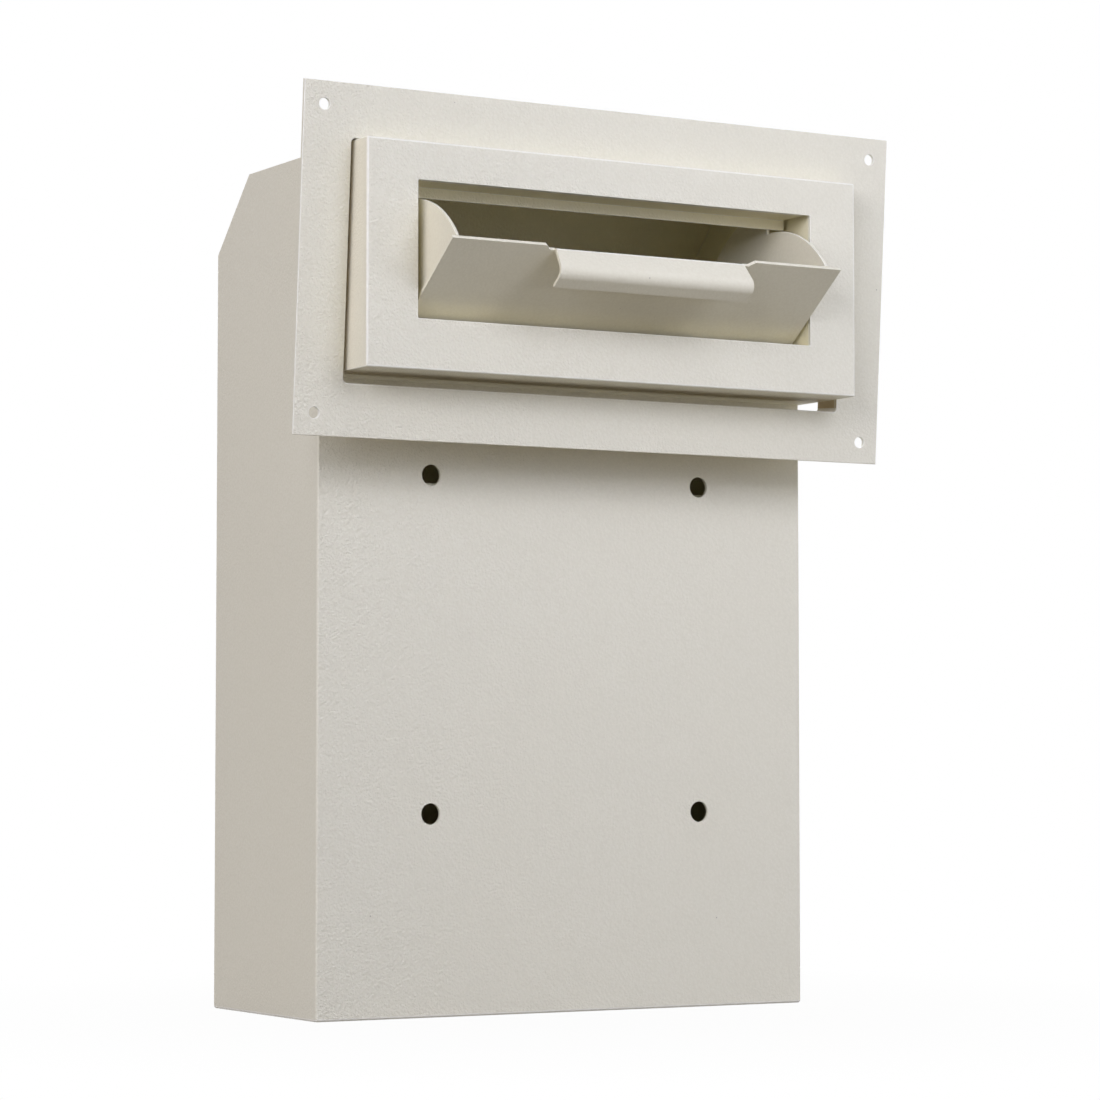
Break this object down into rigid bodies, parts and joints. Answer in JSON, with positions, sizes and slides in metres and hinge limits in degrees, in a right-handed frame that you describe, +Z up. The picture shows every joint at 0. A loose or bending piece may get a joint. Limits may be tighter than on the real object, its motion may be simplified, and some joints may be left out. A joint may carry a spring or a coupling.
{
  "type": "through-door drop slot safe",
  "caption": "Through-door deposit box: a pull-down hopper in a nose that passes through a door, a loose trim plate, and a locked rear door.",
  "frame": {"origin": "centre of the four door bolt holes, in the front face that lies against the door", "axes": "+X to the right as seen from outside, -Y out through the door towards the person posting, +Z up"},
  "size_m": [0.3048, 0.189, 0.4046],
  "materials": {
    "textured_paint": "fine pebbled cream powder coat",
    "smooth_paint": "smooth satin cream powder coat",
    "plated_steel": "bright zinc plate",
    "rivet_aluminium": "plain blind rivets",
    "lock_chrome": "chromed die-cast lock"
  },
  "bodies": {
    "safe_body": {"body_shell": "textured_paint", "bottom_panel": "textured_paint", "top_panel": "textured_paint", "nose_shell": "textured_paint", "jamb_left": "textured_paint", "jamb_right": "textured_paint", "soffit_rail": "textured_paint", "sill_rail": "textured_paint", "hinge_rod": "plated_steel", "rod_caps": "plated_steel", "baffle_plate": "textured_paint", "door_stop_strip": "textured_paint", "hinge_leaf_frame": "plated_steel", "hinge_pin": "plated_steel", "frame_rivets": "rivet_aluminium"},
    "hopper": {"hopper_flap": "smooth_paint", "cheek_left": "smooth_paint", "cheek_right": "smooth_paint"},
    "rear_door": {"rear_door_panel": "textured_paint", "hinge_leaf_door": "plated_steel", "door_rivets": "rivet_aluminium", "lock_housing": "lock_chrome", "lock_nut": "plated_steel"},
    "lock_core": {"lock_plug": "lock_chrome", "lock_cam": "plated_steel", "cam_washer": "plated_steel", "cam_screw": "plated_steel"},
    "trim_plate": {"trim_plate": "textured_paint", "trim_collar": "textured_paint"}
  },
  "joints": [
    {"name": "hopper_tilt", "type": "hinge", "parent": "safe_body", "child": "hopper", "pos_m": [0, -0.031, 0.138], "axis": [-1, 0, 0], "range_deg": [0, 53.2]},
    {"name": "door_swing", "type": "hinge", "parent": "safe_body", "child": "rear_door", "pos_m": [0.11225, 0.1077, 0], "axis": [0, 0, -1], "range_deg": [0, 110]},
    {"name": "lock_turn", "type": "hinge", "parent": "rear_door", "child": "lock_core", "pos_m": [-0.093, 0.1, 0.025], "axis": [0, 1, 0], "range_deg": [0, 90]},
    {"name": "trim_slide", "type": "slide", "parent": "safe_body", "child": "trim_plate", "axis": [0, 1, 0], "range_m": [-0.008, 0.011]}
  ]
}
